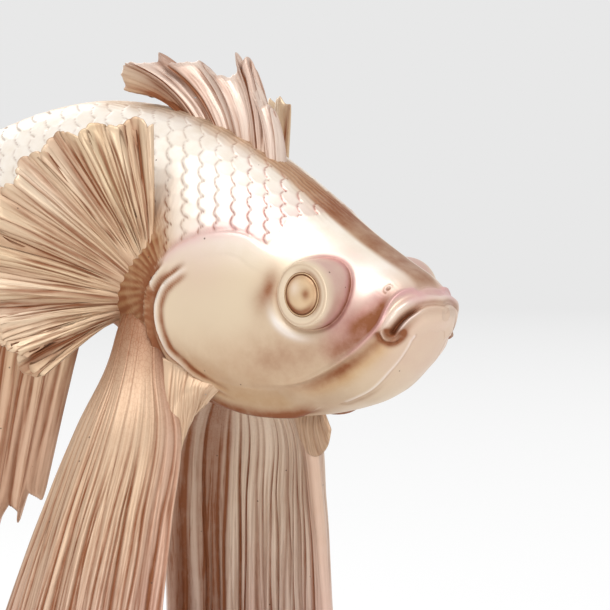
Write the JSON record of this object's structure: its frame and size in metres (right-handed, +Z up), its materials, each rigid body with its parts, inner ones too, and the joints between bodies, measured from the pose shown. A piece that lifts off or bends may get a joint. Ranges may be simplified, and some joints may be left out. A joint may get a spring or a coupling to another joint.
{
  "type": "fish figurine",
  "caption": "Cast resin figurine of a long-finned fighting fish in champagne and rose metallic paint, standing on its hanging fins.",
  "frame": {"origin": "on the ground, under the middle of the whole figure", "axes": "+X forward out of the mouth, +Y to the fish's left, +Z up"},
  "size_m": [0.3592, 0.1744, 0.2914],
  "materials": {
    "champagne_resin": "satin",
    "rose_resin": "satin",
    "dowel_steel": "brushed",
    "pad_felt": "matte"
  },
  "bodies": {
    "root": {"body_shell": "champagne_resin", "belly_plug": "champagne_resin", "right_eye": "rose_resin", "left_eye": "rose_resin", "dorsal_fin": "rose_resin", "anal_fin": "rose_resin", "tail_fin": "rose_resin", "right_ventral_fin": "rose_resin", "left_ventral_fin": "rose_resin", "right_throat_fin": "champagne_resin", "left_throat_fin": "champagne_resin", "right_pectoral_fin": "champagne_resin", "left_pectoral_fin": "champagne_resin", "right_ventral_rod": "dowel_steel", "left_ventral_rod": "dowel_steel", "tail_rod": "dowel_steel", "fin_pins": "dowel_steel", "throat_pins": "dowel_steel", "right_pad": "pad_felt", "left_pad": "pad_felt", "rear_pad": "pad_felt"}
  },
  "joints": []
}
